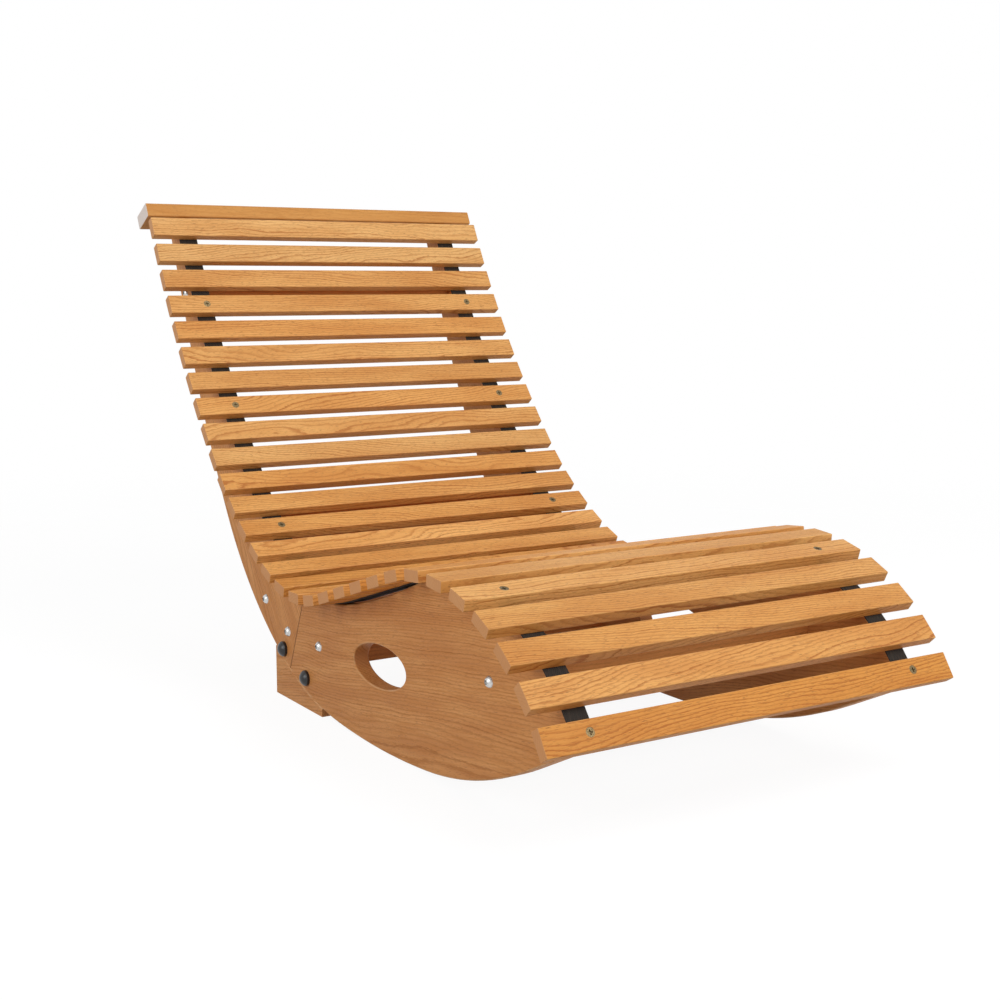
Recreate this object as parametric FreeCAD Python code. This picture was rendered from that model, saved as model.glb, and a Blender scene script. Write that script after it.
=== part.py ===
import FreeCAD, Part
import math
import os

V = FreeCAD.Vector

# Slats
slat_length = 650.0
slat_width = 34.2
knee_slat_width = 36.8
slat_thickness = 16.0
slat_edge_radius = 1.4
slat_end_radius = 0.8
back_pitch = 50.95
seat_pitch = 52.8
knee_pitch = 55.3
back_steps = 11
seat_steps = 11
knee_steps = 7
first_slat = 2
seat_gap = 0.05

# Line of the slats' underside, walked from the head end to the foot end;
# the rocker's lowest point is the zero of Y and Z while building
line_start_y = 732.4
line_start_z = 740.0
start_lean = 63.15
back_radius = 1795.0
back_turn = 14.8
lumbar_radius = 623.5
lumbar_turn = 21.95
hip_radius = 267.1
hip_turn = 44.05
ramp_length = 221.8
knee_radius = 304.4

# Webbing straps
strap_width = 32.0
strap_thickness = 2.0
strap_head_reach = 22.0

# Side boards
board_thickness = 25.0
board_centre = 259.0
slack_depth = 6.0
slack_start = 840.0
slack_end = 1150.0
slack_points = 11
seam_y = 278.5
seam_z = 102.2
seam_lean = 66.3
seam_gap = 0.2
nose_radius = 6.0
board_edge_radius = 2.5
seam_edge_radius = 1.6

# Lower and rear edge of a side, turning up from the lowest point
sole_radius = 1540.0
sole_turn = 4.9
heel_radius = 514.0
heel_turn = 28.5
waist_radius = 634.0
waist_turn = 22.5
spine_radius = 1625.0
spine_turn = 11.3
toe_radius = 678.5
toe_turn = 21.4

# Hand hole
hole_length = 156.0
hole_height = 61.5
hole_y = 1.2
hole_z = 120.2
hole_tilt = 3.3

# Head cap board
cap_thickness = 25.0
cap_depth = 52.0
cap_front = 5.0
cap_station = -26.0
cap_edge_radius = 3.0
cap_end_radius = 1.0

# Cross rails, each at its bolt: Y, Z and lean of the wide side from level
rail_width = 62.0
rail_thickness = 25.0
rail_gap = 0.15
rail_edge_radius = 2.0
rails = {
    "head_rail": (709.0, 633.2, 59.2),
    "waist_rail": (406.0, 262.0, 40.0),
    "lower_back_rail": (389.4, 146.8, 39.0),
    "seat_rail": (194.0, 108.7, 90.0),
    "front_rail": (-292.7, 165.4, 90.0),
}

# Joint blocks, which carry the floor stops behind the rockers
block_thickness = 18.0
block_rear = 356.0
block_front = 189.0
block_top = 130.2
block_neck_front = 213.0
block_neck_low = 42.2
block_neck_high = 66.2
block_step = 0.6
block_gap = 0.1
block_edge_chamfer = 2.4

# Fasteners
screw_head = 12.0
screw_head_height = 3.6
screw_shank = 4.5
screw_length = 42.0
screw_sunk = 0.3
recess_width = 1.6
recess_length = 6.6
recess_depth = 1.8
screw_slats = (5, 9, 14, 27, 31)
foot_screw_rise = 2.5
hole_gap = 0.1
bolt_head = 16.0
bolt_head_height = 6.0
bolt_shank = 6.0
bolt_grip = 40.0
socket_across = 6.0
socket_depth = 3.0
joint_bolt = (305.8, 109.7)
joint_bolt_grip = 14.0
capped_bolts = ((322.5, 78.5), (241.3, 49.3))
capped_reach = 6.0
cover_diameter = 24.0
cover_height = 11.0
cover_rim = 4.0

cut_margin = 1.0
tolerance = 1e-6

board_outer = board_centre + board_thickness / 2
board_inner = board_centre - board_thickness / 2


def line_pieces():
    # curvature and length of each stretch; a positive turn leans the line steeper
    def arc(radius, turn):
        return (-1.0 / radius, radius * math.radians(turn))
    return [
        arc(back_radius, back_turn),
        arc(lumbar_radius, lumbar_turn),
        arc(hip_radius, hip_turn),
        (0.0, ramp_length),
        (1.0 / knee_radius, math.inf),
    ]


def walk(y, z, lean, curve, run):
    if curve == 0.0:
        return y - run * math.cos(lean), z - run * math.sin(lean), lean
    end = lean + curve * run
    y2 = y - (math.sin(end) - math.sin(lean)) / curve
    z2 = z + (math.cos(end) - math.cos(lean)) / curve
    return y2, z2, end


def line_at(s):
    y, z, lean = line_start_y, line_start_z, math.radians(start_lean)
    left = s
    for curve, run in line_pieces():
        if left <= run:
            return walk(y, z, lean, curve, left)
        y, z, lean = walk(y, z, lean, curve, run)
        left -= run


def line_point(s, below):
    y, z, lean = line_at(s)
    return V(0, y + below * math.sin(lean), z - below * math.cos(lean))


def line_edges(s1, s2, below):
    marks = [s1]
    total = 0.0
    for curve, run in line_pieces():
        total += run
        if s1 < total < s2:
            marks.append(total)
    marks.append(s2)
    edges = []
    for a, b in zip(marks, marks[1:]):
        p, m, q = (line_point(s, below) for s in (a, (a + b) / 2, b))
        bend = (m - p).cross(q - m).Length
        if bend < tolerance:
            edges.append(Part.LineSegment(p, q).toShape())
        else:
            edges.append(Part.Arc(p, m, q).toShape())
    return edges


def join(p, q):
    return Part.LineSegment(p, q).toShape()


def prism(edges, x1, x2):
    wire = Part.Wire(Part.__sortEdges__(edges))
    face = Part.Face(wire)
    solid = face.extrude(V(x2 - x1, 0, 0))
    solid.translate(V(x1, 0, 0))
    return solid


def polygon(points, x1, x2):
    loop = points + points[:1]
    return prism([join(V(0, *a), V(0, *b)) for a, b in zip(loop, loop[1:])], x1, x2)


def cylinder(radius, start, along, length):
    return Part.makeCylinder(radius, length, start, along)


def turned(shape, y, z, lean):
    moved = shape.copy()
    moved.rotate(V(0, 0, 0), V(1, 0, 0), math.degrees(lean))
    moved.translate(V(0, y, z))
    return moved


def mirrored(shape):
    return shape.mirror(V(0, 0, 0), V(1, 0, 0))


def long_edges(solid, length):
    return [e for e in solid.Edges if abs(e.BoundBox.XLength - length) < tolerance]


def flat_edges(solid):
    return [e for e in solid.Edges if e.BoundBox.XLength < tolerance]


def rounded_bar(length, width, height, corner, edge_radius, end_radius):
    bar = Part.makeBox(length, width, height, corner)
    bar = bar.makeFillet(edge_radius, long_edges(bar, length))
    return bar.makeFillet(end_radius, flat_edges(bar))


# Slat stations along the line
steps = [back_pitch] * back_steps + [seat_pitch] * seat_steps + [knee_pitch] * knee_steps
stations = {first_slat: 0.0}
for step in steps:
    last = max(stations)
    stations[last + 1] = stations[last] + step
last_slat = max(stations)
line_end = stations[last_slat] + knee_slat_width / 2
knee_start = first_slat + back_steps + seat_steps + 1


def slat_seat(s, width):
    # the slat's flat underside rests on the line: on its two edges where the
    # line is hollow, on its middle where the line is round
    half = width / 2
    y1, z1, _ = line_at(s - half)
    y2, z2, _ = line_at(s + half)
    lean = math.atan2(z1 - z2, y1 - y2)
    mid_y, mid_z = (y1 + y2) / 2, (z1 + z2) / 2
    lift = 0.0
    count = 12
    for i in range(count + 1):
        y, z, _ = line_at(s - half + width * i / count)
        lift = max(lift, -(y - mid_y) * math.sin(lean) + (z - mid_z) * math.cos(lean))
    lift += seat_gap
    return mid_y - lift * math.sin(lean), mid_z + lift * math.cos(lean), lean


def screw_hole(x, y):
    top = slat_thickness - screw_sunk
    reach = screw_length + cut_margin
    shank = cylinder(screw_shank / 2 + hole_gap, V(x, y, top - reach), V(0, 0, 1), reach)
    sink = Part.makeCone(screw_shank / 2 + hole_gap, screw_head / 2 + hole_gap, screw_head_height,
                         V(x, y, top - screw_head_height), V(0, 0, 1))
    mouth = cylinder(screw_head / 2 + hole_gap, V(x, y, top), V(0, 0, 1), 2 * screw_sunk)
    return shank.fuse([sink, mouth])


def screw(x, y):
    top = slat_thickness - screw_sunk
    shank_length = screw_length - screw_head_height
    shank = cylinder(screw_shank / 2, V(x, y, top - screw_length), V(0, 0, 1), shank_length)
    head = Part.makeCone(screw_shank / 2, screw_head / 2, screw_head_height,
                         V(x, y, top - screw_head_height), V(0, 0, 1))
    body = shank.fuse(head)
    for size in ((recess_length, recess_width), (recess_width, recess_length)):
        corner = V(x - size[0] / 2, y - size[1] / 2, top - recess_depth)
        body = body.cut(Part.makeBox(size[0], size[1], recess_depth + cut_margin, corner))
    return body.removeSplitter()


parts = {}
screws = []
screw_holes = []
for number, s in stations.items():
    width = slat_width if number < knee_start else knee_slat_width
    seat = slat_seat(s, width)
    slat = rounded_bar(slat_length, width, slat_thickness, V(-slat_length / 2, -width / 2, 0),
                       slat_edge_radius, slat_end_radius)
    if number in screw_slats:
        rise = foot_screw_rise if number == last_slat else 0.0
        for x in (-board_centre, board_centre):
            slat = slat.cut(screw_hole(x, rise))
            screws.append(turned(screw(x, rise), *seat))
            screw_holes.append(turned(screw_hole(x, rise), *seat))
    parts["slat_%02d" % number] = turned(slat, *seat)
parts["slat_screws"] = Part.makeCompound(screws)

# Head cap board across the top ends of the back boards
cap_y, cap_z, cap_lean = line_at(cap_station)
cap = rounded_bar(slat_length, cap_thickness, cap_depth, V(-slat_length / 2, 0, cap_front - cap_depth),
                  cap_edge_radius, cap_end_radius)
parts["head_cap_board"] = turned(cap, cap_y, cap_z, cap_lean)


# Outline of one whole side
def lower_chain(turns, ahead):
    y, z, angle = 0.0, 0.0, 0.0
    edges = []
    for radius, turn in turns:
        end = angle + math.radians(turn)
        mid = (angle + end) / 2
        def place(a):
            return V(0, y + ahead * radius * (math.sin(a) - math.sin(angle)),
                     z + radius * (math.cos(angle) - math.cos(a)))
        p, m, q = place(angle), place(mid), place(end)
        edges.append(Part.Arc(p, m, q).toShape())
        y, z, angle = q.y, q.z, end
    return edges, V(0, y, z), V(0, ahead * math.cos(angle), math.sin(angle))


def meet_line(start, along, s1, s2):
    # station where the boards' top edge meets a straight run of the lower edge
    def side(s):
        p = line_point(s, strap_thickness) - start
        return along.y * p.z - along.z * p.y
    a, b = s1, s2
    for i in range(60):
        mid = (a + b) / 2
        if side(a) * side(mid) <= 0:
            b = mid
        else:
            a = mid
    return (a + b) / 2


sole = (sole_radius, sole_turn)
heel = (heel_radius, heel_turn)
waist = (waist_radius, waist_turn)
spine = (spine_radius, spine_turn)
toe = (toe_radius, toe_turn)
rear_edges, rear_end, rear_way = lower_chain((sole, heel, waist, spine), 1)
toe_edges, toe_end, toe_way = lower_chain((sole, toe), -1)
nose_station = meet_line(toe_end, toe_way, stations[last_slat] - knee_slat_width, line_end + knee_slat_width)
nose = line_point(nose_station, strap_thickness)
top_front = line_point(cap_station, strap_thickness)
cap_way = V(0, math.sin(cap_lean), -math.cos(cap_lean))
gap_vector = top_front - rear_end
cross = rear_way.y * cap_way.z - rear_way.z * cap_way.y
rear_run = (gap_vector.y * cap_way.z - gap_vector.z * cap_way.y) / cross
top_rear = rear_end + rear_way * rear_run

slack = []
for i in range(slack_points):
    f = i / (slack_points - 1)
    s = slack_start + f * (slack_end - slack_start)
    slack.append(line_point(s, strap_thickness + slack_depth * math.sin(math.pi * f) ** 2))

def line_way(s):
    lean = line_at(s)[2]
    return V(0, -math.cos(lean), -math.sin(lean))


slack_curve = Part.BSplineCurve()
slack_curve.interpolate(slack, InitialTangent=line_way(slack_start), FinalTangent=line_way(slack_end))

side_edges = line_edges(cap_station, slack_start, strap_thickness)
side_edges += [slack_curve.toShape()]
side_edges += line_edges(slack_end, nose_station, strap_thickness)
side_edges += [join(nose, toe_end)] + toe_edges + rear_edges
side_edges += [join(rear_end, top_rear), join(top_rear, top_front)]
side = prism(side_edges, -board_outer, -board_inner)
nose_middle = V(-board_centre, nose.y, nose.z)
nose_edge = min(long_edges(side, board_thickness), key=lambda e: e.CenterOfMass.distanceToPoint(nose_middle))
side = side.makeFillet(nose_radius, [nose_edge])

# Hand hole, an ellipse with its front end a little higher
tilt = math.radians(hole_tilt)
hole_middle = V(-board_outer - cut_margin, hole_y, hole_z)
hole_front = hole_middle + V(0, -math.cos(tilt), math.sin(tilt)) * (hole_length / 2)
hole_top = hole_middle + V(0, math.sin(tilt), math.cos(tilt)) * (hole_height / 2)
hole = Part.Ellipse(hole_front, hole_top, hole_middle).toShape()
hole_tool = Part.Face(Part.Wire([hole])).extrude(V(board_thickness + 2 * cut_margin, 0, 0))

# The seam parts each side into a back board and a rocker board
seam_way = V(0, -math.cos(math.radians(seam_lean)), math.sin(math.radians(seam_lean)))
seam_mid = V(0, seam_y, seam_z)
seam_side = V(0, seam_way.z, -seam_way.y)


def half_side(sign):
    near = seam_mid + seam_side * (sign * seam_gap / 2)
    reach = side.BoundBox.DiagonalLength
    far = near + seam_side * (sign * reach)
    run = seam_way * reach
    points = [near - run, near + run, far + run, far - run]
    return polygon([(p.y, p.z) for p in points], -board_outer - cut_margin, -board_inner + cut_margin)


def rounded_board(board):
    # a soft round on the outline and the hand hole, a finer one along the seam
    def at_seam(edge):
        return abs((edge.CenterOfMass - seam_mid).dot(seam_side)) < seam_gap
    board = board.makeFillet(board_edge_radius, [e for e in flat_edges(board) if not at_seam(e)])
    return board.makeFillet(seam_edge_radius, [e for e in flat_edges(board) if at_seam(e)])


back_board = rounded_board(side.common(half_side(1)))
rocker_board = rounded_board(side.common(half_side(-1)).cut(hole_tool))


# Joint block: a plate inside the boards with a foot that fills the corner below them
block_face = -board_outer + block_step
plate = polygon([(block_rear, 0.0), (block_front, 0.0), (block_front, block_neck_low),
                 (block_neck_front, block_neck_high), (block_neck_front, block_top), (block_rear, block_top)],
                -board_inner + block_gap, -board_inner + block_gap + block_thickness)
foot = polygon([(block_rear, 0.0), (block_front, 0.0), (block_front, block_top), (block_rear, block_top)],
               block_face, -board_inner + block_gap)
under = side.copy()
under.translate(V(0, 0, -block_gap))
foot = foot.cut(under).cut(side)
foot = max(foot.Solids, key=lambda piece: -piece.CenterOfMass.z)
joint_block = plate.fuse(foot).removeSplitter()
block_rim = [e for e in flat_edges(joint_block) if abs(e.CenterOfMass.x - block_face) < tolerance
             and min(e.BoundBox.YLength, e.BoundBox.ZLength) > cut_margin]
joint_block = joint_block.makeChamfer(block_edge_chamfer, block_rim)


# Webbing strap under the slats
strap_edges = line_edges(-strap_head_reach, line_end, 0.0)
strap_edges += line_edges(-strap_head_reach, line_end, strap_thickness)
for s in (-strap_head_reach, line_end):
    strap_edges.append(join(line_point(s, 0.0), line_point(s, strap_thickness)))
strap = prism(strap_edges, -board_centre - strap_width / 2, -board_centre + strap_width / 2)

for tool in screw_holes:
    if tool.BoundBox.Center.x < 0:
        strap = strap.cut(tool)
        if tool.BoundBox.Center.y > seam_y:
            back_board = back_board.cut(tool)
        else:
            rocker_board = rocker_board.cut(tool)


# Bolts through the boards
def bolt_hole(y, z, start, end):
    return cylinder(bolt_shank / 2 + hole_gap, V(start, y, z), V(1, 0, 0), end - start)


def bolt(y, z, face, grip, way):
    # domed head on the face, hexagon socket, shank running in the given way
    dome = (bolt_head ** 2 / 4 + bolt_head_height ** 2) / (2 * bolt_head_height)
    ball = Part.makeSphere(dome, V(face + way * (dome - bolt_head_height), y, z))
    slab = cylinder(bolt_head, V(face, y, z), V(-way, 0, 0), 2 * bolt_head)
    head = ball.common(slab)
    shank = cylinder(bolt_shank / 2, V(face, y, z), V(way, 0, 0), grip)
    flats = [V(0, socket_across / math.sqrt(3) * math.cos(math.radians(a)),
               socket_across / math.sqrt(3) * math.sin(math.radians(a))) for a in range(0, 361, 60)]
    socket = Part.Face(Part.makePolygon(flats)).extrude(V(way * socket_depth, 0, 0))
    socket.translate(V(face - way * bolt_head_height, y, z))
    return head.fuse(shank).removeSplitter().cut(socket)


rail_bolts = []
for name, (y, z, lean) in rails.items():
    length = 2 * (board_inner - rail_gap)
    corner = V(-length / 2, -rail_width / 2, -rail_thickness / 2)
    rail = Part.makeBox(length, rail_width, rail_thickness, corner)
    rail = rail.makeFillet(rail_edge_radius, long_edges(rail, length))
    rail = turned(rail, y, z, math.radians(lean))
    grip = board_thickness + bolt_grip
    drill = bolt_hole(y, z, -board_outer - cut_margin, -board_outer + grip + cut_margin)
    rail = rail.cut(drill).cut(mirrored(drill))
    parts[name] = rail
    if y > seam_y:
        back_board = back_board.cut(drill)
    else:
        rocker_board = rocker_board.cut(drill)
    rail_bolts.append(bolt(y, z, -board_outer, grip, 1))

joint_grip = board_thickness + joint_bolt_grip
drill = bolt_hole(*joint_bolt, -board_outer - cut_margin, -board_outer + joint_grip + cut_margin)
back_board = back_board.cut(drill)
joint_block = joint_block.cut(drill)
rail_bolts.append(bolt(*joint_bolt, -board_outer, joint_grip, 1))

inner_face = -board_inner + block_gap + block_thickness
block_bolts = []
covers = []
for y, z in capped_bolts:
    drill = bolt_hole(y, z, -board_outer - cut_margin, inner_face + cut_margin)
    joint_block = joint_block.cut(drill)
    back_board = back_board.cut(drill)
    rocker_board = rocker_board.cut(drill)
    grip = inner_face + board_outer + capped_reach
    block_bolts.append(bolt(y, z, inner_face, grip, -1))
    dome_height = cover_height - cover_rim
    dome = (cover_diameter ** 2 / 4 + dome_height ** 2) / (2 * dome_height)
    rim = cylinder(cover_diameter / 2, V(-board_outer, y, z), V(-1, 0, 0), cover_rim)
    ball = Part.makeSphere(dome, V(-board_outer - cover_height + dome, y, z))
    top = ball.common(cylinder(cover_diameter, V(-board_outer - cover_rim, y, z), V(-1, 0, 0), cover_height))
    pocket = cylinder(bolt_shank / 2 + hole_gap, V(-board_outer, y, z), V(-1, 0, 0), capped_reach + hole_gap)
    covers.append(rim.fuse(top).removeSplitter().cut(pocket))


def both(shapes):
    return Part.makeCompound(shapes + [mirrored(shape) for shape in shapes])


for name, shape in (("back_board", back_board), ("rocker_board", rocker_board),
                    ("joint_block", joint_block), ("webbing_strap", strap)):
    parts["left_" + name] = shape
    parts["right_" + name] = mirrored(shape)
parts["rail_bolts"] = both(rail_bolts)
parts["block_bolts"] = both(block_bolts)
parts["bolt_covers"] = both(covers)

# The middle of the whole piece's box goes over the origin; the sides, the slats and
# the cap board reach furthest, and the rockers' lowest point is on the floor already
whole = side.BoundBox
for name, shape in parts.items():
    if name.startswith("slat_") or name == "head_cap_board":
        whole.add(shape.BoundBox)
shift = V(0, -whole.Center.y, 0)

os.makedirs("parts", exist_ok=True)
for name, shape in parts.items():
    shape.translate(shift)
    shape.exportStep(os.path.join("parts", name + ".step"))
    print(name, len(shape.Solids), shape.isValid(), round(shape.Volume / 1000, 2))
print("shift", shift, "size", whole.XLength, whole.YLength, whole.ZLength)
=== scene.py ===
import bpy
import math
import numpy as np
from mathutils import Matrix, Vector


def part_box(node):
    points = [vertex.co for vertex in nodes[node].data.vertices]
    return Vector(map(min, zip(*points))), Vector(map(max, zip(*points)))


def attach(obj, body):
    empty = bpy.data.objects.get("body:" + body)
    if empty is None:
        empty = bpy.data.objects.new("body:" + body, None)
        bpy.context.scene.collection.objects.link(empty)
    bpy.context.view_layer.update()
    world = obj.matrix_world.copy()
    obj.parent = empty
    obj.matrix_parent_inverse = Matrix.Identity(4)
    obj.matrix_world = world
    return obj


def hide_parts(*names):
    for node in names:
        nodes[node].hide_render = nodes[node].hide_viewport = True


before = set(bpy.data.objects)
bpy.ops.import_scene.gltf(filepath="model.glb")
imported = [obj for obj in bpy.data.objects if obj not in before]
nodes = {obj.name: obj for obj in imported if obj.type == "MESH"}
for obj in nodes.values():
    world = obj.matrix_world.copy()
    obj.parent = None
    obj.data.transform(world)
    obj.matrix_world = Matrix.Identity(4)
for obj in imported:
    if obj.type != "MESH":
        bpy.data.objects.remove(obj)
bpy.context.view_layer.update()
slatNames = [name for name in sorted(nodes) if name.startswith("slat_") and name != "slat_screws"]
railNames = [name for name in sorted(nodes) if name.endswith("_rail")]
plateNames = [name for name in sorted(nodes) if name.endswith(("_back_board", "_rocker_board", "_block"))]
mm = 0.001
print("frame loaded:", len(nodes), "nodes")


class Wire:
    # one socket of a shader tree, used in sums and products as a number is
    def __init__(self, tree, socket=None):
        self.tree = tree
        self.socket = socket

    def node(self, kind, settings=None, inputs=None, out=0):
        made = self.tree.nodes.new(kind)
        for name, value in (settings or {}).items():
            setattr(made, name, value)
        for name, value in (inputs or {}).items():
            if isinstance(value, Wire):
                self.tree.links.new(value.socket, made.inputs[name])
            else:
                made.inputs[name].default_value = value
        return Wire(self.tree, made.outputs[out]) if made.outputs else None

    def math(self, operation, *values):
        return self.node("ShaderNodeMath", {"operation": operation}, dict(enumerate(values)))

    def __add__(self, other):
        return self.math("ADD", self, other)

    def __radd__(self, other):
        return self.math("ADD", other, self)

    def __sub__(self, other):
        return self.math("SUBTRACT", self, other)

    def __rsub__(self, other):
        return self.math("SUBTRACT", other, self)

    def __mul__(self, other):
        return self.math("MULTIPLY", self, other)

    def __rmul__(self, other):
        return self.math("MULTIPLY", other, self)

    def __truediv__(self, other):
        return self.math("DIVIDE", self, other)

    def __pow__(self, other):
        return self.math("POWER", self, other)

    def __abs__(self):
        return self.math("ABSOLUTE", self)

    def vector(self, operation, other, out=0):
        return self.node("ShaderNodeVectorMath", {"operation": operation}, {0: self, 1: other}, out)

    def parts(self):
        return [self.node("ShaderNodeSeparateXYZ", None, {0: self}, axis) for axis in "XYZ"]

    def dot(self, axis):
        return self.vector("DOT_PRODUCT", tuple(axis), "Value")

    def step(self, low, high):
        # smooth rise from 0 at low to 1 at high
        settings = {"interpolation_type": "SMOOTHSTEP"}
        return self.node("ShaderNodeMapRange", settings, {"Value": self, "From Min": low, "From Max": high})

    def noise(self, size, shift, detail=2.0, out=0):
        # size is the length of one blotch along each axis, in the units of this vector
        moved = self.vector("DIVIDE", tuple(size)).vector("ADD", tuple(shift))
        return moved.node("ShaderNodeTexNoise", None, {"Vector": moved, "Scale": 1.0, "Detail": detail}, out)

    def mix(self, first, second):
        # this value goes from the first colour to the second
        return self.node("ShaderNodeMix", {"data_type": "RGBA"}, {0: self, 6: first, 7: second}, 2)

    def bump(self, depth, strength):
        return self.node("ShaderNodeBump", None, {"Height": self, "Distance": depth, "Strength": strength})


def rgb(red, green, blue):
    # a screen colour, 0 to 255, as the linear colour that shaders take: the usual screen curve, undone
    share = np.array((red, green, blue)) / 255
    linear = np.where(share <= 0.04045, share / 12.92, ((share + 0.055) / 1.055) ** 2.4)
    return (*linear.tolist(), 1.0)


def startMaterial(name):
    material = bpy.data.materials.new(name)
    material.use_nodes = True
    material.node_tree.nodes.clear()
    return material, Wire(material.node_tree)


def closeMaterial(wire, inputs):
    surface = wire.node("ShaderNodeBsdfPrincipled", None, inputs)
    wire.node("ShaderNodeOutputMaterial", None, {"Surface": surface})


def dress(name, material):
    for place in nodes[name].material_slots:
        place.material = material


def addObject(name, data):
    made = bpy.data.objects.new(name, data)
    bpy.context.scene.collection.objects.link(made)
    return made


def ringMesh(name, verts, lastClosed):
    # a grid of points whose columns close into a ring: four corners to a face, and one face over the
    # first ring, and over the last one where that is closed too
    rows, columns = verts.shape[:2]
    row, col = np.meshgrid(np.arange(rows - 1), np.arange(columns), indexing="ij")
    after = (col + 1) % columns
    here, beyond = row * columns, (row + 1) * columns
    quads = np.stack((here + col, beyond + col, beyond + after, here + after), -1)
    ring = np.arange(columns)
    ends = [ring.tolist()]
    if lastClosed:
        ends.append((rows * columns - 1 - ring).tolist())
    mesh = bpy.data.meshes.new(name)
    mesh.from_pydata(verts.reshape(-1, 3), [], quads.reshape(-1, 4).tolist() + ends)
    return mesh


def corners(name):
    mesh = nodes[name].data
    flat = np.empty(len(mesh.vertices) * 3, np.float32)
    mesh.vertices.foreach_get("co", flat)
    return flat.reshape(-1, 3).astype(float)


def barFrame(name):
    # a bar that runs along X: its middle, the way across its wide side, and its half sizes
    points = corners(name)[:, 1:]
    wide = np.linalg.eigh(np.cov(points.T))[1][:, 1]
    wide = wide * np.sign(wide[0])
    axes = np.array((wide, (-wide[1], wide[0])))
    spread = points @ axes.T
    low, high = spread.min(0), spread.max(0)
    middle = (low + high) / 2 @ axes
    return Vector((0, *middle)), Vector((0, *wide)), (high - low) / 2


# Wood: the sizes of its patterns are in mm along, across and through the piece

grainLook = {    # what all the wood here shares
    "shiftReach": 90, "raggedSize": (12, 1.5, 1.5), "poreSize": (8, 0.7, 0.7), "rubAndHighlightSize": (30, 9, 9),
    "lateRise": (0.48, 0.90), "lateFall": (0.92, 1.0), "faintest": 0.35, "poresLost": 0.5,
    "fibreStep": (0.38, 0.66), "poreStep": (0.60, 0.70), "cloudStep": (0.32, 0.68),
    "cutStep": (0.55, 0.9), "rubAndHighlightStep": (0.25, 0.7),
    "lineRough": 0.10, "fibreRough": 0.08, "wearSmooth": 0.06, "specular": 0.3,
    "fibreRise": 0.6, "poreSink": 1.4, "reliefDepth": 0.12 * mm, "relief": 0.55,
}
slatLook = grainLook | {
    "pale": rgb(232, 172, 98), "deep": rgb(213, 147, 75), "line": rgb(168, 92, 32),
    "pore": rgb(122, 66, 26), "endCut": rgb(214, 152, 100), "edge": rgb(240, 192, 124),
    "year": 3.7, "slow": (180, 55, 55), "slowDepth": 26.0, "quick": (36, 12, 12), "quickDepth": 3.2,
    "ragged": 0.55, "fibre": (42, 1.3, 1.3), "cloud": (240, 46, 46),
    "lineShare": 0.85, "poreShare": 0.60, "fibreShare": 0.45, "edgeShare": 0.30, "endShare": 0.80,
    "pithReach": (70, 150), "pithLean": (15, 75), "tilt": 0.10, "tintSpread": 0.02, "roughness": 0.50,
}
# single pieces set apart from the rest, how light and how much warmer: partly their own tone, partly painted
# light, the top back slats painted lighter and the front knee slats painted darker and warmer
slatTonesAndShade = {
    "slat_02": (1.08, -0.16), "slat_03": (1.05, -0.10), "slat_11": (1.02, -0.08), "slat_15": (1.16, -0.06),
    "slat_17": (0.96, 0.10), "slat_19": (1.0, 0.06), "slat_20": (0.98, 0.14), "slat_21": (0.99, 0.10),
    "slat_22": (1.0, 0.14), "slat_23": (1.0, 0.08), "slat_24": (1.0, 0.10), "slat_27": (1.05, -0.04),
    "slat_28": (0.90, 0.0), "slat_29": (0.90, 0.03), "slat_30": (0.93, 0.03), "slat_31": (0.83, 0.13),
    "head_cap_board": (0.88, 0.09),
}
plainTone = (1, 0)
railTone = (1.2, 0.02)    # the rails are a shade lighter than the boards
blueLoss = 3              # a warmer tone takes this many times as much blue as green
# the cap board is smooth, quiet wood, with near-white end faces
capLook = slatLook | {
    "endCut": rgb(246, 234, 226), "endShare": 0.94, "lineShare": 0.30, "poreShare": 0.30, "fibreShare": 0.35,
}
boardLook = grainLook | {
    "pale": rgb(224, 158, 93), "deep": rgb(205, 136, 73), "line": rgb(156, 90, 42),
    "pore": rgb(122, 69, 32), "endCut": rgb(200, 135, 84), "edge": rgb(240, 198, 146),
    "year": 3.5, "slow": (260, 80, 80), "slowDepth": 26.0, "quick": (60, 16, 16), "quickDepth": 3.0,
    "ragged": 0.70, "fibre": (70, 2.6, 2.6), "cloud": (190, 30, 30),
    "lineShare": 0.56, "poreShare": 0.40, "fibreShare": 0.55, "edgeShare": 0.60, "endShare": 0.55,
    "pithReach": (120, 220), "pithLean": (20, 60), "tilt": 0.03, "tintSpread": 0.012, "roughness": 0.52,
}
grainRise = math.radians(9.5)    # the grain of rockers and blocks climbs towards the foot end
# painted shade: a dark line where back board and rocker board meet, standing in for the shade in the joint
seamLook = {
    "place": (0, 129.98 * mm, 102.2 * mm), "lean": math.radians(66.3), "reach": (0.5 * mm, 2.0 * mm),
    "jointShade": rgb(106, 62, 36), "share": 0.60,
}


def tinted(colour, light, warm):
    red, green, blue, alpha = colour
    return (red * light, green * light * (1 - warm), blue * light * (1 - blueLoss * warm), alpha)


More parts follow.
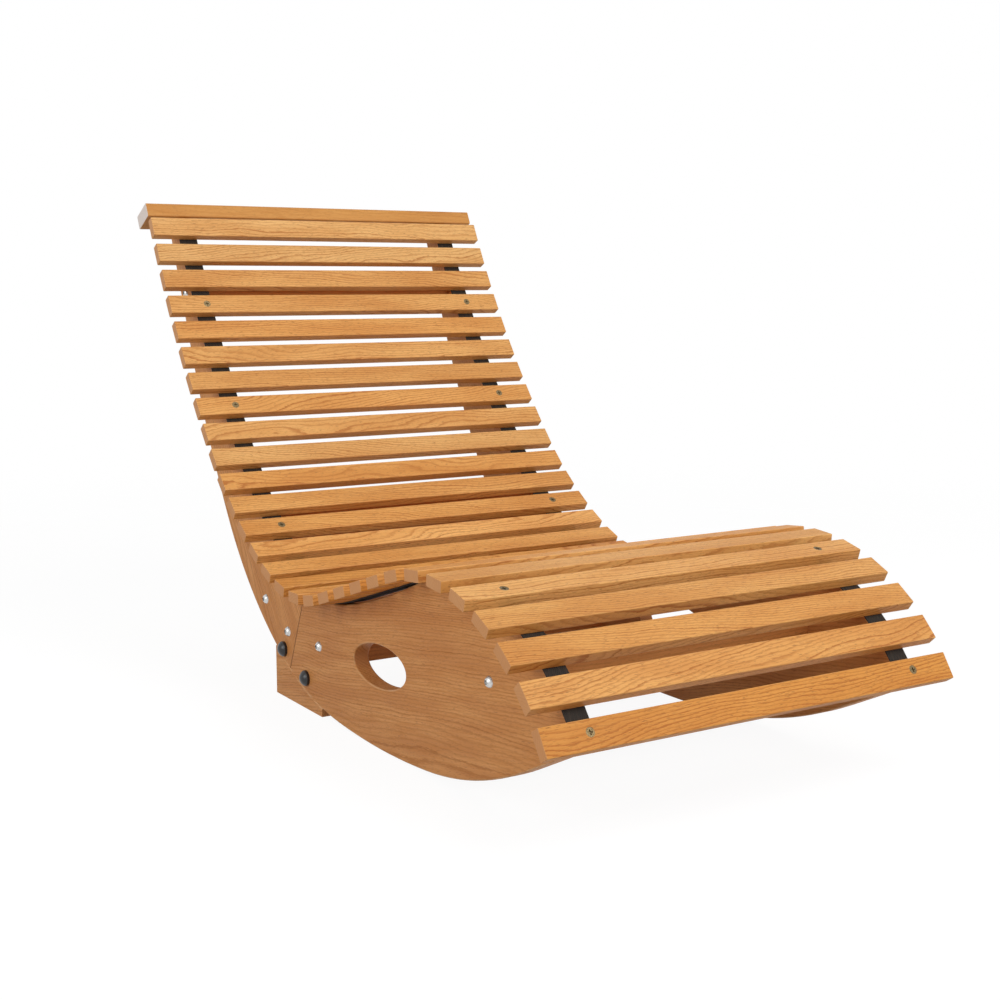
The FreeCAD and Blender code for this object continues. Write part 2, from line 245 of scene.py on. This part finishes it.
def woodMaterial(name, look, middle, along, across, draw, tone=plainTone, seam=None):
    # growth rings about a pith that runs roughly along the piece: the distance from the pith, bent by
    # a slow and a quick wander, is cut into years, and each year darkens towards its end
    material, wire = startMaterial(name)
    thick = along.cross(across)
    turn = Matrix((along, across, thick)).transposed().to_euler()
    place = wire.node("ShaderNodeTexCoord", out="Object")
    normal = wire.node("ShaderNodeTexCoord", out="Normal")
    seat = {"Vector": place, "Location": middle, "Rotation": turn, "Scale": (mm, mm, mm)}
    local = wire.node("ShaderNodeMapping", {"vector_type": "TEXTURE"}, seat)

    def shift():
        return draw.uniform(-look["shiftReach"], look["shiftReach"], 3)

    def wander(size, depth, detail):
        # a push across the grain, up to half the depth either way
        push = local.noise(size, shift(), detail, "Color").vector("SUBTRACT", (0.5, 0.5, 0.5))
        return push.vector("MULTIPLY", (0, depth, depth))

    bent = local.vector("ADD", wander(look["slow"], look["slowDepth"], detail=1.0))
    bent = bent.vector("ADD", wander(look["quick"], look["quickDepth"], detail=2.0))
    x, y, z = bent.parts()
    tiltY, tiltZ = draw.uniform(-look["tilt"], look["tilt"], 2)
    reach = draw.uniform(*look["pithReach"])
    lean = math.radians(draw.uniform(*look["pithLean"]))
    fromPithY = y + x * tiltY + reach * math.sin(lean) * draw.choice((-1, 1))
    fromPithZ = z + x * tiltZ + reach * math.cos(lean) * draw.choice((-1, 1))
    radius = (fromPithY * fromPithY + fromPithZ * fromPithZ) ** 0.5
    ragged = local.noise(look["raggedSize"], shift())
    year = radius / look["year"] + ragged * look["ragged"]
    part = year.math("FRACT", year)
    count = year.math("FLOOR", year)
    late = part.step(*look["lateRise"]) * (1 - part.step(*look["lateFall"]))
    vigour = count.node("ShaderNodeTexWhiteNoise", {"noise_dimensions": "1D"}, {"W": count})
    line = late * (look["faintest"] + (1 - look["faintest"]) * vigour)
    fibre = local.noise(look["fibre"], shift(), detail=3.0).step(*look["fibreStep"])
    pore = local.noise(look["poreSize"], shift(), detail=1.0).step(*look["poreStep"])
    pore = pore * (1 - look["poresLost"] * late)
    cloud = local.noise(look["cloud"], shift()).step(*look["cloudStep"])

    light = tone[0] + draw.normal(0, look["tintSpread"])
    warm = tone[1] + draw.normal(0, look["tintSpread"])
    pale, deep, dark = (tinted(look[key], light, warm) for key in ("pale", "deep", "line"))
    colour = cloud.mix(pale, deep)
    colour = (fibre * look["fibreShare"]).mix(colour, deep)
    colour = (line * look["lineShare"]).mix(colour, dark)
    colour = (pore * look["poreShare"]).mix(colour, look["pore"])
    cut = abs(normal.dot(along)).step(*look["cutStep"])
    colour = (cut * look["endShare"]).mix(colour, look["endCut"])
    lift = normal.dot(thick)
    rim = 4 * lift * lift * (1 - lift * lift)    # 1 where a rounded edge faces half way out, 0 on flats
    # rounded edges are painted paler in patches: partly rubbed wear, partly a painted highlight along the
    # rims
    rubbedAndHighlit = rim * local.noise(look["rubAndHighlightSize"], shift()).step(*look["rubAndHighlightStep"])
    colour = (rubbedAndHighlit * look["edgeShare"]).mix(colour, look["edge"])
    # painted shade along the joint between back board and rocker board
    if seam:
        side = Vector((0, math.sin(seam["lean"]), math.cos(seam["lean"])))
        away = abs(place.vector("SUBTRACT", seam["place"]).dot(side))
        colour = ((1 - away.step(*seam["reach"])) * seam["share"]).mix(colour, seam["jointShade"])

    height = look["fibreRise"] * fibre - line - look["poreSink"] * pore
    rough = look["roughness"] + look["lineRough"] * line + look["fibreRough"] * fibre
    closeMaterial(wire, {
        "Base Color": colour,
        "Roughness": rough - look["wearSmooth"] * rubbedAndHighlit,
        "Specular IOR Level": look["specular"],
        "Normal": height.bump(look["reliefDepth"], look["relief"]),
    })
    return material


def dressWood(draw):
    for name in sorted(slatNames + railNames + ["head_cap_board"]):
        middle, wide = barFrame(name)[:2]
        look, tone = slatLook, slatTonesAndShade.get(name, plainTone)
        if name == "head_cap_board":
            look = capLook
        elif name in railNames:
            look, tone = boardLook, railTone
        dress(name, woodMaterial(name + "_wood", look, middle, Vector((1, 0, 0)), wide, draw, tone))
    for name in plateNames:
        low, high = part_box(name)
        along = Vector((0, math.cos(grainRise), -math.sin(grainRise)))
        if name.endswith("back_board"):
            along = Vector((0, high.y - low.y, high.z - low.z)).normalized()
        across = Vector((0, -along.z, along.y))
        seam = seamLook if name.endswith("_board") else None
        middle = (low + high) / 2
        dress(name, woodMaterial(name + "_wood", boardLook, middle, along, across, draw, seam=seam))


dressWood(np.random.default_rng(31))
print("wood dressed")


# Webbing straps

strapLook = {
    # dark is painted shade for the hollows of the weave, thread the crowns' colour with a painted highlight
    "thread": rgb(58, 52, 46), "dark": rgb(18, 15, 12), "dust": rgb(86, 74, 62),
    "warpPitch": 1.5 * mm, "weftPitch": 2.2 * mm, "weaveDepth": 0.25 * mm, "relief": 0.8,
    "grimeSize": (4 * mm, 30 * mm, 1), "grimeShift": (3, 7, 1), "grimeStep": (0.42, 0.72), "grimeShare": 0.22,
    "roughness": 0.62, "threadRough": 0.2, "specular": 0.2,
    "thickness": 1.8 * mm, "squareness": 9.0, "ribDepth": 0.12 * mm, "ribs": 12, "profilePoints": 96,
    "headReach": 5.0 * mm, "inset": 1.2 * mm, "step": 3.5 * mm,
}


def strapMaterial(look):
    # plain weave: the height is the product of two sines, one over the warp and one over the weft
    material, wire = startMaterial("webbing_weave")
    uv = wire.node("ShaderNodeUVMap", {"uv_map": "weave"})
    across, along = uv.parts()[:2]
    warp = across.math("SINE", across * (math.pi / look["warpPitch"]))
    weft = along.math("SINE", along * (math.pi / look["weftPitch"]))
    over = 0.5 + 0.5 * warp * weft
    grime = uv.noise(look["grimeSize"], look["grimeShift"], detail=3.0).step(*look["grimeStep"])
    # the colour follows the weave's height: painted shade in the hollows, painted highlight on the thread
    # crowns
    colour = over.mix(look["dark"], look["thread"])
    colour = (grime * look["grimeShare"]).mix(colour, look["dust"])
    closeMaterial(wire, {
        "Base Color": colour,
        "Roughness": look["roughness"] + look["threadRough"] * over,
        "Specular IOR Level": look["specular"],
        "Normal": over.bump(look["weaveDepth"], look["relief"]),
    })
    return material


def strapPath(look):
    # along the slats' undersides from head to foot: flat below each slat, straight over each gap
    points = []
    for name in slatNames:
        middle, wide, half = barFrame(name)
        wide = np.array(wide)[1:]
        up = np.array((-wide[1], wide[0]))
        under = np.array(middle)[1:] - up * half[1]
        reach = half[0] - look["inset"]
        points += [under + wide * reach, under - wide * reach]
        if name == slatNames[0]:
            points.insert(0, points[0] + wide * look["headReach"])
    points = np.array(points)
    run = np.concatenate(([0], np.cumsum(np.linalg.norm(np.diff(points, axis=0), axis=1))))
    even = np.linspace(0, run[-1], int(run[-1] / look["step"]))
    return even, np.stack([np.interp(even, run, points[:, k]) for k in range(2)], 1)


def addStrap(side, look, material):
    # a flattened superellipse with fine ribs, carried along the path
    low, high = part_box(side + "_webbing_strap")
    run, path = strapPath(look)
    way = np.gradient(path, axis=0)
    way /= np.linalg.norm(way, axis=1, keepdims=True)
    up = np.stack((way[:, 1], -way[:, 0]), 1)
    angle = np.linspace(0, 2 * np.pi, look["profilePoints"], endpoint=False)
    power = 2 / look["squareness"]
    flatX = np.sign(np.cos(angle)) * np.abs(np.cos(angle)) ** power
    flatZ = np.sign(np.sin(angle)) * np.abs(np.sin(angle)) ** power
    halfWidth = (high.x - low.x) / 2
    rib = look["ribDepth"] * (np.cos(np.pi * look["ribs"] * flatX) - 1) / 2
    rise = flatZ * (look["thickness"] / 2 + rib) - look["thickness"] / 2
    verts = np.empty((len(run), len(angle), 3))
    verts[:, :, 0] = (low.x + high.x) / 2 + halfWidth * flatX
    verts[:, :, 1:] = path[:, None] + up[:, None] * rise[None, :, None]
    mesh = ringMesh(side + "_strap", verts, lastClosed=True)
    uv = np.stack(np.broadcast_arrays(halfWidth * flatX[None, :], run[:, None]), -1).reshape(-1, 2)
    loops = np.empty(len(mesh.loops), np.int32)
    mesh.loops.foreach_get("vertex_index", loops)
    mesh.uv_layers.new(name="weave").data.foreach_set("uv", uv[loops].astype(np.float32).ravel())
    mesh.polygons.foreach_set("use_smooth", np.ones(len(mesh.polygons), bool))
    mesh.materials.append(material)
    strap = addObject(side + "_strap", mesh)
    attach(strap, "root")
    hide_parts(side + "_webbing_strap")


webbing = strapMaterial(strapLook)
for side in ("left", "right"):
    addStrap(side, strapLook, webbing)
print("straps woven")


# Metal and plastic

zincLook = {    # what screws and bolts share
    "cloudShift": (5, 2, 8), "cloudStep": (0.40, 0.70), "cloudShare": 0.6, "cloudRough": 0.16,
    "scratchSize": (0.15 * mm, 3 * mm, 0.2 * mm), "scratchShift": (1, 4, 2), "scratchStep": (0.52, 0.75),
    "scratchRough": 0.08, "scratchDepth": 0.02 * mm, "relief": 0.3,
}
screwLook = zincLook | {
    "metal": rgb(132, 114, 82), "tarnish": rgb(84, 67, 44), "roughness": 0.42, "spot": 2.2 * mm,
}
boltLook = zincLook | {
    "metal": rgb(206, 206, 204), "tarnish": rgb(150, 150, 150), "roughness": 0.24, "spot": 3.0 * mm,
}
coverLook = {
    "plastic": rgb(30, 30, 32), "scuff": rgb(70, 70, 72), "roughness": 0.26,
    "grain": 0.35 * mm, "grainShift": (2, 6, 4), "grainRough": 0.06, "grainDepth": 0.03 * mm, "relief": 0.35,
    "scuffSize": (5 * mm, 2 * mm, 2 * mm), "scuffShift": (9, 1, 3), "scuffStep": (0.55, 0.80),
    "scuffShare": 0.35, "scuffRough": 0.12,
}


def metalMaterial(name, look):
    # cloudy tarnish, and fine scratches that also dull the shine
    material, wire = startMaterial(name)
    place = wire.node("ShaderNodeTexCoord", out="Object")
    cloud = place.noise([look["spot"]] * 3, look["cloudShift"], detail=3.0).step(*look["cloudStep"])
    scratch = place.noise(look["scratchSize"], look["scratchShift"]).step(*look["scratchStep"])
    closeMaterial(wire, {
        "Base Color": (look["cloudShare"] * cloud).mix(look["metal"], look["tarnish"]),
        "Metallic": 1.0,
        "Roughness": look["roughness"] + look["cloudRough"] * cloud + look["scratchRough"] * scratch,
        "Normal": scratch.bump(look["scratchDepth"], look["relief"]),
    })
    return material


def coverMaterial(look):
    # moulded grain all over, with paler scuffs
    material, wire = startMaterial("cover_plastic")
    place = wire.node("ShaderNodeTexCoord", out="Object")
    grain = place.noise([look["grain"]] * 3, look["grainShift"])
    scuff = place.noise(look["scuffSize"], look["scuffShift"], detail=4.0).step(*look["scuffStep"])
    closeMaterial(wire, {
        "Base Color": (look["scuffShare"] * scuff).mix(look["plastic"], look["scuff"]),
        "Roughness": look["roughness"] + look["scuffRough"] * scuff + look["grainRough"] * grain,
        "Normal": grain.bump(look["grainDepth"], look["relief"]),
    })
    return material


boltMetal = metalMaterial("bright_zinc", boltLook)
dress("slat_screws", metalMaterial("yellow_zinc", screwLook))
dress("rail_bolts", boltMetal)
dress("block_bolts", boltMetal)
dress("bolt_covers", coverMaterial(coverLook))
print("metal and plastic dressed")


# Floor, light and camera

floorLook = {
    "hub": 0.001, "reach": 3.4, "rings": 24, "spokes": 64, "fadeFrom": 1.5, "glow": 0.925,
    "bounce": (0.40, 0.40, 0.40, 1), "shown": (0.11, 0.11, 0.11, 1),
}
skyLook = {"fill": 0.42}
lampLooks = {
    "keyLamp": {"place": (0.6, -2.4, 3.0), "aim": (0, 0.1, 0.3), "size": 2.0, "power": 61},
    "leftLamp": {"place": (-3.4, -0.8, 1.6), "aim": (0, 0, 0.3), "size": 2.2, "power": 38},
    "frontLamp": {"place": (0.6, -3.4, 0.8), "aim": (0, 0, 0.3), "size": 1.6, "power": 16},
}
cameraLook = {
    "place": (-1.21715, -1.96757, 0.65184), "azimuth": -32.196, "down": 8.254, "lens": 54.087, "sight": 50,
}


def seenDirectly(wire):
    # 1 for the camera's rays and for what metal mirrors, 0 for rays that carry light
    rays = ("Is Camera Ray", "Is Glossy Ray", "Is Transmission Ray")
    camera, glossy, through = (wire.node("ShaderNodeLightPath", out=ray) for ray in rays)
    return camera.math("MAXIMUM", camera, glossy.math("MAXIMUM", glossy, through))


def floorMaterial(look):
    # pale paper that keeps a shadow and clears to the white sky further out
    material, wire = startMaterial("floor_paper")
    place = wire.node("ShaderNodeTexCoord", out="Object")
    far = place.vector("LENGTH", (0, 0, 0), "Value").step(look["fadeFrom"], look["reach"])
    seen = seenDirectly(wire)
    lit = wire.node("ShaderNodeBsdfDiffuse", None, {"Color": seen.mix(look["bounce"], look["shown"])})
    glow = wire.node("ShaderNodeEmission", None, {"Strength": seen * look["glow"]})
    paper = wire.node("ShaderNodeAddShader", None, {0: lit, 1: glow})
    clear = wire.node("ShaderNodeBsdfTransparent")
    surface = wire.node("ShaderNodeMixShader", None, {0: far, 1: paper, 2: clear})
    wire.node("ShaderNodeOutputMaterial", None, {"Surface": surface})
    return material


def addFloor(look):
    # a flat ring grid: radius times the cosine and sine of the angle
    radius = np.linspace(look["hub"], look["reach"], look["rings"])
    angle = np.linspace(0, 2 * np.pi, look["spokes"], endpoint=False)
    verts = np.zeros((len(radius), len(angle), 3))
    verts[:, :, 0] = radius[:, None] * np.cos(angle)
    verts[:, :, 1] = radius[:, None] * np.sin(angle)
    mesh = ringMesh("floor", verts, lastClosed=False)
    mesh.materials.append(floorMaterial(look))
    addObject("floor", mesh)


def addSky(look):
    world = bpy.data.worlds.new("studio")
    world.use_nodes = True
    world.node_tree.nodes.clear()
    wire = Wire(world.node_tree)
    strength = look["fill"] + seenDirectly(wire) * (1 - look["fill"])
    sky = wire.node("ShaderNodeBackground", None, {"Color": (1, 1, 1, 1), "Strength": strength})
    wire.node("ShaderNodeOutputWorld", None, {"Surface": sky})
    bpy.context.scene.world = world


def addLamp(name, look):
    lamp = bpy.data.lights.new(name, "AREA")
    lamp.shape = "DISK"
    lamp.size = look["size"]
    lamp.energy = look["power"]
    holder = addObject(name, lamp)
    holder.location = look["place"]
    holder.rotation_euler = (Vector(look["aim"]) - holder.location).to_track_quat("-Z", "Y").to_euler()


def addCamera(look):
    camera = addObject("camera", bpy.data.cameras.new("camera"))
    camera.data.lens = look["lens"]
    camera.data.clip_end = look["sight"]
    camera.location = look["place"]
    camera.rotation_euler = (math.radians(90 - look["down"]), 0, math.radians(look["azimuth"]))
    bpy.context.scene.camera = camera


addFloor(floorLook)
addSky(skyLook)
for lampName, lampLook in lampLooks.items():
    addLamp(lampName, lampLook)
addCamera(cameraLook)
bpy.context.scene.view_settings.view_transform = "Standard"
print("stage, light and camera set")
